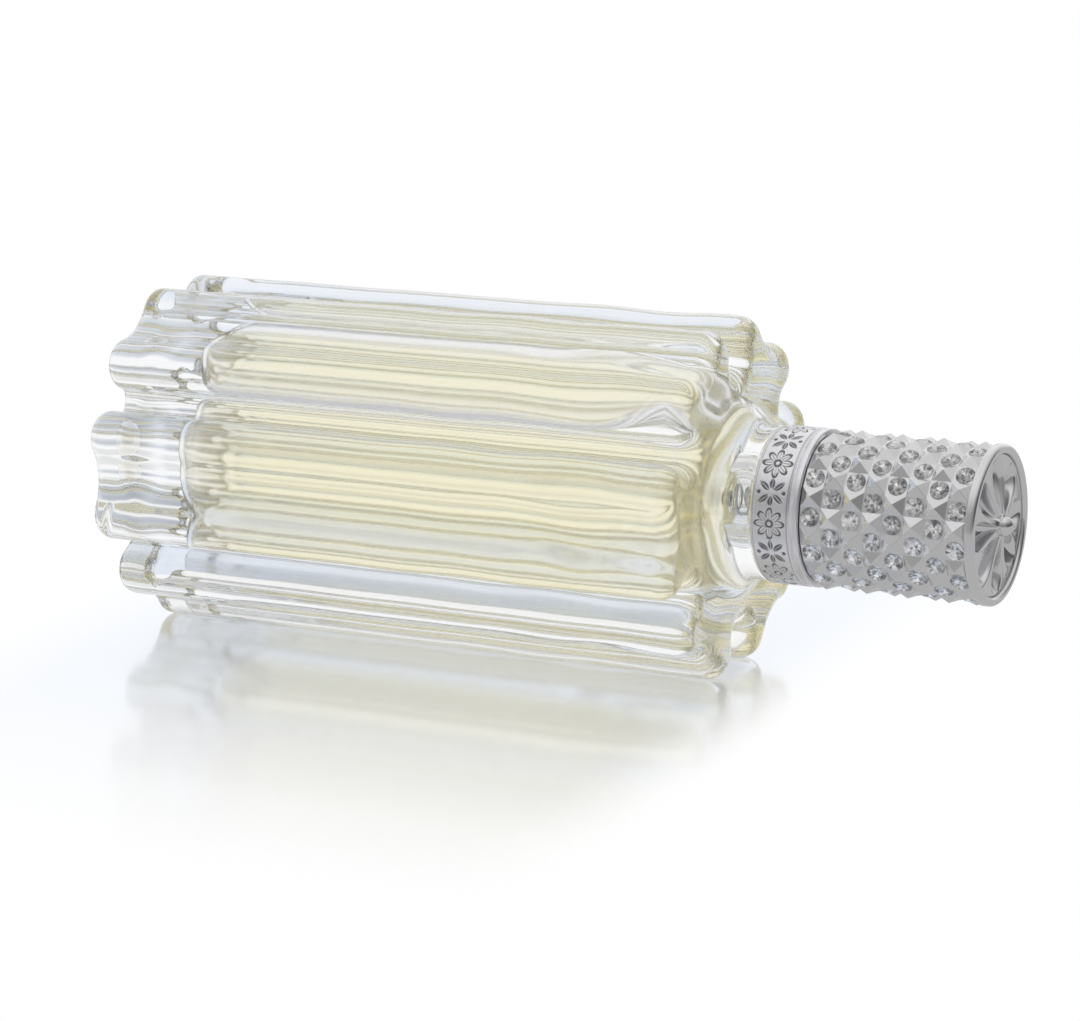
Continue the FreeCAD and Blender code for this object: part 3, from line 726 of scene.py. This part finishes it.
def flower_height(share, angle):
    """Height of the medallion above the cap's top; share runs from 0 at the boss to 1 at the rim.

    Eight ridges sweep up to the boss, and a leaf-shaped hollow lies between each two.
    """
    petal = math.pi / FLOWER_RIDGES
    beside = np.abs((angle + petal) % (2 * petal) - petal)
    rise = FLOWER_TOP_Z - CAP_TOP_Z - FLOWER_RIM_HEIGHT - BOSS_STANDS
    crest = FLOWER_RIM_HEIGHT + rise * (1 - share) ** 2.4
    hollow_depth, bead_height = 2.2, 0.14
    widest, slope, bead_width = 0.86 * petal, 0.30 * petal, 0.14 * petal
    leaf_width = widest * math.sin(math.pi * min(1.0, 0.10 + 0.86 * share)) ** 0.55
    inside = np.clip((leaf_width - beside) / slope, 0, 1)
    inside = inside * inside * (3 - 2 * inside)
    depth = hollow_depth * math.sin(math.pi * share ** 0.75) ** 0.8
    outline = bead_height * np.exp(-((beside - leaf_width) / bead_width) ** 2) * math.sin(math.pi * share)
    return crest - depth * inside + outline


def cap_flower():
    """Medallion: eight ridges sweep up to a round boss, with a hollow petal between each two."""
    columns = 640
    angles = np.arange(columns) * 2 * math.pi / columns
    rim, edge = END_RING_BORE - 2 * FIT_GAP, 0.15
    low = CAP_TOP_Z - CAP_POCKET + FIT_GAP
    outline = [(rim * 0.5, low), (rim, low), (rim, CAP_TOP_Z + FLOWER_RIM_HEIGHT),
               (rim - edge, CAP_TOP_Z + FLOWER_RIM_HEIGHT + edge)]
    rings = [circle(radius, height, angles) for radius, height in outline]
    for share in np.linspace(1.0, 0.0, 60)[1:]:
        ring = circle(BOSS_R + (rim - edge - BOSS_R) * share, 0.0, angles)
        ring[:, 2] = CAP_TOP_Z + flower_height(share, angles)
        rings.append(ring)
    start = rings[-1][:, 2].mean()
    for lift in np.radians(np.linspace(0, 90, 10)[1:-1]):
        height = start + (FLOWER_TOP_Z - start) * math.sin(lift)
        rings.append(circle(BOSS_R * math.cos(lift), height, angles))
    piece = ring_stack("cap_flower_medallion", rings, (0, 0, low), (0, 0, FLOWER_TOP_Z))
    return place(piece, "cap", "cap_flower")


# ========================================================================= materials

GLASS_IOR = 1.52
LIQUID_IOR = 1.36
CRYSTAL_IOR = 1.6


def material(name):
    """An empty node material."""
    made = bpy.data.materials.new(name)
    made.use_nodes = True
    made.node_tree.nodes.clear()
    return made


def node(tree, kind, inputs=None, **settings):
    """Adds a shader node, sets its properties and links or fills its inputs."""
    made = tree.nodes.new(kind)
    for key, value in settings.items():
        setattr(made, key, value)
    for key, value in (inputs or {}).items():
        if isinstance(value, bpy.types.NodeSocket):
            tree.links.new(value, made.inputs[key])
        else:
            made.inputs[key].default_value = value
    return made


def output(tree, surface, volume=None):
    """Ends a material with its surface and, for glass and liquid, what fills it."""
    end = node(tree, "ShaderNodeOutputMaterial", {"Surface": surface})
    if volume is not None:
        tree.links.new(volume, end.inputs["Volume"])


def calculated(tree, operation, first, second):
    """The result of one sum or comparison."""
    return node(tree, "ShaderNodeMath", {0: first, 1: second}, operation=operation).outputs[0]


def mixed_colour(tree, share, start, end):
    """A colour that runs from start to end as share runs from 0 to 1."""
    mix = node(tree, "ShaderNodeMix", {"Factor": share, "A": start, "B": end}, data_type="RGBA")
    return mix.outputs["Result"]


def mixed_shader(tree, share, start, end):
    """The same for two shaders."""
    return node(tree, "ShaderNodeMixShader", {0: share, 1: start, 2: end}).outputs[0]


def noise(tree, scale, detail, stretch=(1, 1, 1)):
    """Noise in the object's own metres."""
    spot = node(tree, "ShaderNodeTexCoord")
    scaled = node(tree, "ShaderNodeMapping", {"Vector": spot.outputs["Object"], "Scale": stretch})
    made = node(tree, "ShaderNodeTexNoise", {
        "Vector": scaled.outputs[0], "Scale": scale, "Detail": detail})
    return made.outputs["Fac"]


def fine_bump(tree, scale, distance, detail=3.0, stretch=(1, 1, 1)):
    """A bump from that noise."""
    height = noise(tree, scale, detail, stretch)
    return node(tree, "ShaderNodeBump", {"Height": height, "Distance": distance, "Strength": 1.0})


def bumpy(name, bump, look):
    """A material of one shader with a fine bump, from its scale and depth; look holds the rest."""
    made = material(name)
    relief = fine_bump(made.node_tree, *bump)
    shader = node(made.node_tree, "ShaderNodeBsdfPrincipled", {**look, "Normal": relief.outputs["Normal"]})
    output(made.node_tree, shader.outputs[0])
    return made


def clear_glass():
    """Polished glass, with a faint tint in its depth and a very slight waviness."""
    made = material("clear_glass")
    tree = made.node_tree
    bump = fine_bump(tree, 90.0, 0.00002, 1.0)
    shader = node(tree, "ShaderNodeBsdfPrincipled", {
        "Base Color": (1, 1, 1, 1), "Roughness": 0.0, "IOR": GLASS_IOR,
        "Transmission Weight": 1.0, "Normal": bump.outputs["Normal"]})
    tint = node(tree, "ShaderNodeVolumeAbsorption", {"Color": (0.86, 0.90, 0.96, 1), "Density": 3.0})
    output(tree, shader.outputs[0], tint.outputs[0])
    return made


def yellow_liquid():
    """Clear pale yellow; its skin is slightly rough, as the blown inner wall round it is."""
    made = material("perfume_liquid")
    tree = made.node_tree
    shader = node(tree, "ShaderNodeBsdfPrincipled", {
        "Base Color": (1, 1, 1, 1), "Roughness": 0.13, "IOR": LIQUID_IOR, "Transmission Weight": 1.0})
    tint = node(tree, "ShaderNodeVolumeAbsorption", {"Color": (0.95, 0.84, 0.26, 1), "Density": 14.0})
    output(tree, shader.outputs[0], tint.outputs[0])
    return made


def silver(name="silver_plating", tone=(0.74, 0.74, 0.75, 1), roughness=0.16):
    """Silver plating; where the mesh is marked as engraved, the cuts hold dark patina."""
    made = material(name)
    tree = made.node_tree
    bump = fine_bump(tree, 1800.0, 0.000004)
    rough = node(tree, "ShaderNodeMapRange", {
        "Value": noise(tree, 260.0, 4.0), "To Min": roughness * 0.7, "To Max": roughness * 1.4})
    relief = node(tree, "ShaderNodeAttribute", attribute_name="engraved")
    patina = (0.21, 0.21, 0.215, 1)
    shader = node(tree, "ShaderNodeBsdfPrincipled", {
        "Base Color": mixed_colour(tree, relief.outputs["Fac"], tone, patina),
        "Metallic": 1.0, "Roughness": rough.outputs["Result"],
        "Normal": bump.outputs["Normal"]})
    output(tree, shader.outputs[0])
    return made


def plastic(name, colour, roughness=0.35, see_through=0.0):
    """Moulded plastic with a fine grain; see_through is the share of light that passes straight on."""
    made = material(name)
    tree = made.node_tree
    bump = fine_bump(tree, 1500.0, 0.000006)
    shader = node(tree, "ShaderNodeBsdfPrincipled", {
        "Base Color": colour, "Roughness": roughness, "Subsurface Weight": 0.2, "Subsurface Scale": 0.001,
        "Normal": bump.outputs["Normal"]})
    if see_through:
        clear = node(tree, "ShaderNodeBsdfTransparent")
        output(tree, mixed_shader(tree, see_through, shader.outputs[0], clear.outputs[0]))
    else:
        output(tree, shader.outputs[0])
    return made


def foil_with_painted_sparkle():
    """Mirror foil behind a stone; each facet has a painted tone from dark to bright, a painted sparkle."""
    made = material("foil_with_painted_sparkle")
    tree = made.node_tree
    share = node(tree, "ShaderNodeAttribute", attribute_name="painted_sparkle")
    # Painted sparkle: the dark end is painted shade, the bright end a painted glint.
    dark, bright = (0.10, 0.10, 0.105, 1), (0.98, 0.98, 0.99, 1)
    tone = mixed_colour(tree, share.outputs["Fac"], dark, bright)
    shader = node(tree, "ShaderNodeBsdfPrincipled", {"Base Color": tone, "Metallic": 1.0, "Roughness": 0.2})
    output(tree, shader.outputs[0])
    return made


def paint(piece, *finishes):
    """Gives a piece its finishes; with more than one, its faces keep the numbers they have."""
    kept = [face.material_index for face in piece.data.polygons] if len(finishes) > 1 else None
    piece.data.materials.clear()
    for finish in finishes:
        piece.data.materials.append(finish)
    if kept:
        piece.data.polygons.foreach_set("material_index", kept)


# ============================================================================ stage

PHOTO_UP = Vector((1, 0, 0))
TABLE_DROP = 0.05           # gap between the bottle and either table
TABLE_IN_METAL = 0.55       # how bright metal sees the white table
# Near the bottle the table's mirror shows a rendered reflection; its greyer tone there also stands as a
# painted soft contact shade.
MIRROR_AMOUNT = 0.78        # the table's share of mirror close to the bottle
MIRROR_REACH = (0.115, 0.015)       # metres from the bottle: no mirror, full mirror
MIRROR_CAP_END = (0.118, 0.098)     # the same along the bottle, past its shoulder
MIRROR_FOOT_END = (-0.020, 0.010)   # and past its foot
# The studio's light: a direction as the camera has it, where along it the light begins and ends
# to change, and by how much.
METAL_BASE = 0.31
METAL_ROOM = (("up", 0.15, 0.85, 0.55), ("up", -0.2, -0.8, 0.22),
              ("right", 0.15, 0.75, -0.20), ("right", -0.2, -0.9, 0.12))
GLASS_BASE = 0.97
GLASS_ROOM = (("up", 0.35, 0.95, -0.38), ("far", -0.2, -0.9, -0.22), ("right", 0.5, 0.95, -0.16))
CONTACT_X = -(TIP_R - LOBE_R) * math.cos(math.radians(180 / RIBS - LOBE_ANGLE)) - LOBE_R


def table_top(name, normal, point, size=4.0):
    """A glossy white table that shows only when the camera's up is roughly its normal."""
    across = normal.orthogonal().normalized() * size
    along = normal.cross(across)
    corners = (across + along, along - across, -across - along, across - along)
    mesh = bpy.data.meshes.new(name)
    mesh.from_pydata([tuple(point + corner) for corner in corners], [], [(0, 1, 2, 3)])
    made = bpy.data.objects.new(name, mesh)
    bpy.context.scene.collection.objects.link(made)
    mesh.materials.append(table_finish(name + "_finish", normal))


def table_finish(name, normal):
    """White, with a blurred bluish reflection that fades away from the bottle; near the bottle the table
    seen through the glass is painted bluish grey as a painted shadow, and the mirror's greyer tone there
    also stands as a painted soft contact shade.
    """
    made = material(name)
    tree = made.node_tree
    camera_up = node(tree, "ShaderNodeVectorTransform", {0: (0, 1, 0)}, vector_type="VECTOR",
                     convert_from="CAMERA", convert_to="WORLD")
    match = node(tree, "ShaderNodeVectorMath", {0: camera_up.outputs[0], 1: tuple(normal)},
                 operation="DOT_PRODUCT")
    upright = calculated(tree, "GREATER_THAN", match.outputs["Value"], 0.6)
    path = node(tree, "ShaderNodeLightPath")
    through_glass = path.outputs["Is Transmission Ray"]
    direct = calculated(tree, "MAXIMUM", path.outputs["Is Camera Ray"], through_glass)
    glow = node(tree, "ShaderNodeMapRange", {"Value": direct, "To Min": TABLE_IN_METAL, "To Max": 1.0})
    spot = node(tree, "ShaderNodeNewGeometry").outputs["Position"]
    ignored = Vector((1, 1, 1)) - normal
    ignored.z = 0.0
    flat = node(tree, "ShaderNodeVectorMath", {0: spot, 1: tuple(ignored)}, operation="MULTIPLY")
    away = node(tree, "ShaderNodeVectorMath", {0: flat.outputs[0]}, operation="LENGTH")
    # Mirror mask near the bottle: rendered reflection, whose greyer tone also serves as painted contact
    # shade.
    near = smooth_term(tree, away.outputs["Value"], *MIRROR_REACH, MIRROR_AMOUNT)
    along = node(tree, "ShaderNodeSeparateXYZ", {0: spot}).outputs["Z"]
    before_cap = smooth_term(tree, along, *MIRROR_CAP_END, 1.0)
    past_foot = smooth_term(tree, along, *MIRROR_FOOT_END, 1.0)
    fade = calculated(tree, "MULTIPLY", near, calculated(tree, "MULTIPLY", past_foot, before_cap))
    # Painted shadow: near the bottle, the table as seen through the glass is painted bluish grey.
    painted_shadow_through_glass = calculated(tree, "MULTIPLY", near, through_glass)
    white = node(tree, "ShaderNodeEmission", {
        "Color": mixed_colour(tree, painted_shadow_through_glass, (1, 1, 1, 1), (0.66, 0.75, 0.90, 1)),
        "Strength": glow.outputs["Result"]})
    mirror = node(tree, "ShaderNodeBsdfGlossy", {"Color": (0.90, 0.94, 1.0, 1), "Roughness": 0.14})
    surface = mixed_shader(tree, fade, white.outputs[0], mirror.outputs[0])
    nothing = node(tree, "ShaderNodeBsdfTransparent")
    output(tree, mixed_shader(tree, upright, nothing.outputs[0], surface))
    return made


def smooth_term(tree, value, start, end, amount):
    """A smooth step of value from 0 at start to amount at end."""
    step = node(tree, "ShaderNodeMapRange", {
        "Value": value, "From Min": start, "From Max": end, "To Min": 0.0, "To Max": amount},
        interpolation_type="SMOOTHSTEP")
    return step.outputs["Result"]


def room_light(tree, axis, base, changes):
    """base plus every change of light along its axis."""
    total = base
    for name, start, end, amount in changes:
        total = calculated(tree, "ADD", total, smooth_term(tree, axis[name], start, end, amount))
    return total


def studio_world():
    """White studio that turns with the camera.

    The camera itself sees plain white. Light that comes through the glass finds an almost even
    white, so the glass stays clear. Light that metal reflects finds a darker room: bright behind
    and above the object, dark on the right and dim round the camera.
    """
    world = bpy.data.worlds.new("studio")
    bpy.context.scene.world = world
    world.use_nodes = True
    tree = world.node_tree
    tree.nodes.clear()
    ray = node(tree, "ShaderNodeTexCoord").outputs["Generated"]
    seen = node(tree, "ShaderNodeVectorTransform", {0: ray}, vector_type="VECTOR",
                convert_from="WORLD", convert_to="CAMERA")
    axes = node(tree, "ShaderNodeSeparateXYZ", {0: seen.outputs[0]})
    axis = {"right": axes.outputs["X"], "up": axes.outputs["Y"], "far": axes.outputs["Z"]}
    room = room_light(tree, axis, METAL_BASE, METAL_ROOM)
    behind = smooth_term(tree, axis["far"], 0.3, 0.9, 1.0)
    in_metal = node(tree, "ShaderNodeMix", {0: behind, 2: room, 3: 1.0}, data_type="FLOAT")
    in_glass = room_light(tree, axis, GLASS_BASE, GLASS_ROOM)
    blue = smooth_term(tree, axis["up"], 0.1, -0.5, 1.0)
    tint = mixed_colour(tree, blue, (1, 1, 1, 1), (0.86, 0.91, 1.0, 1))
    path = node(tree, "ShaderNodeLightPath")
    plain = node(tree, "ShaderNodeBackground", {"Color": (1, 1, 1, 1), "Strength": 1.0})
    for_metal = node(tree, "ShaderNodeBackground", {"Color": (1, 1, 1, 1), "Strength": in_metal.outputs[0]})
    for_glass = node(tree, "ShaderNodeBackground", {"Color": tint, "Strength": in_glass})
    through_glass, from_camera = path.outputs["Is Transmission Ray"], path.outputs["Is Camera Ray"]
    light = mixed_shader(tree, through_glass, for_metal.outputs[0], for_glass.outputs[0])
    light = mixed_shader(tree, from_camera, light, plain.outputs[0])
    node(tree, "ShaderNodeOutputWorld", {"Surface": light})


def photo_camera():
    """Looks at the lying bottle from its cap end, a little above the table."""
    turn, lift, roll = math.radians(27.1), math.radians(14.3), math.radians(-1.2)
    target = Vector((-5.9, -3.0, 64.6)) * MM
    distance = 581 * MM
    back = Vector((math.sin(lift), math.cos(lift) * math.cos(turn), math.cos(lift) * math.sin(turn)))
    right = PHOTO_UP.cross(back).normalized()
    up = back.cross(right)
    tilted_right = right * math.cos(roll) + up * math.sin(roll)
    tilted_up = up * math.cos(roll) - right * math.sin(roll)
    data = bpy.data.cameras.new("photo_camera")
    data.lens = 123.3
    data.sensor_width = 36.0
    data.clip_start, data.clip_end = 0.01, 20.0
    camera = bpy.data.objects.new("photo_camera", data)
    bpy.context.scene.collection.objects.link(camera)
    turned_to = Matrix((tilted_right, tilted_up, back)).transposed().to_4x4()
    camera.matrix_world = Matrix.Translation(target + back * distance) @ turned_to
    bpy.context.scene.camera = camera


# ========================================================================== assembly

SILVER = silver()
ALUMINIUM = bumpy("bright_aluminium", (500.0, 0.000004, 3.0, (1, 1, 30)), {
    "Base Color": (0.84, 0.84, 0.85, 1), "Metallic": 1.0, "Roughness": 0.22})
STEEL = bumpy("stainless_steel", (3000.0, 0.000003), {
    "Base Color": (0.62, 0.62, 0.63, 1), "Metallic": 1.0, "Roughness": 0.25})
RUBBER = bumpy("black_rubber", (2500.0, 0.00002), {"Base Color": (0.03, 0.03, 0.03, 1), "Roughness": 0.6})
CRYSTAL = bumpy("crystal", (800.0, 0.000001), {
    "Base Color": (1.0, 0.985, 0.96, 1), "Roughness": 0.0, "IOR": CRYSTAL_IOR, "Transmission Weight": 1.0})
WHITE = plastic("white_plastic", (0.86, 0.86, 0.84, 1))
NATURAL = plastic("natural_plastic", (0.86, 0.87, 0.86, 1), 0.3, 0.93)
FINISHES = {
    "neck_gasket": RUBBER, "crimp_ferrule": ALUMINIUM, "collar": SILVER, "collar_insert": WHITE,
    "pump_housing": NATURAL, "stem_seal": RUBBER, "pump_gland": WHITE, "inlet_ball": STEEL,
    "pump_piston": NATURAL, "pump_stem": WHITE, "return_spring": STEEL, "dip_tube": NATURAL,
    "actuator_core": WHITE, "actuator_sleeve": ALUMINIUM, "nozzle_insert": WHITE, "cap_shell": SILVER,
    "cap_crystals": CRYSTAL, "cap_liner": WHITE, "cap_end_ring": SILVER, "cap_flower": SILVER,
}
for name, finish in FINISHES.items():
    paint(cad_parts[name], finish)
paint(glass_flask(), clear_glass())
paint(perfume(), yellow_liquid())
paint(collar(), silver("engraved_silver", (0.86, 0.85, 0.88, 1), 0.3))
paint(return_spring(), STEEL)
paint(crimp_ferrule(), ALUMINIUM)
paint(cap_shell(), SILVER)
paint(cap_crystals(), CRYSTAL, foil_with_painted_sparkle())
paint(cap_end_ring(), SILVER)
paint(cap_flower(), SILVER)

table_top("table_for_lying", PHOTO_UP, PHOTO_UP * (CONTACT_X - TABLE_DROP) * MM)
table_top("table_for_standing", Vector((0, 0, 1)), Vector((0, 0, -TABLE_DROP)) * MM)
studio_world()
photo_camera()
scene = bpy.context.scene
scene.view_settings.view_transform = "Standard"
scene.cycles.max_bounces = 24
scene.cycles.transmission_bounces = 20
scene.cycles.glossy_bounces = 8
scene.cycles.transparent_max_bounces = 16
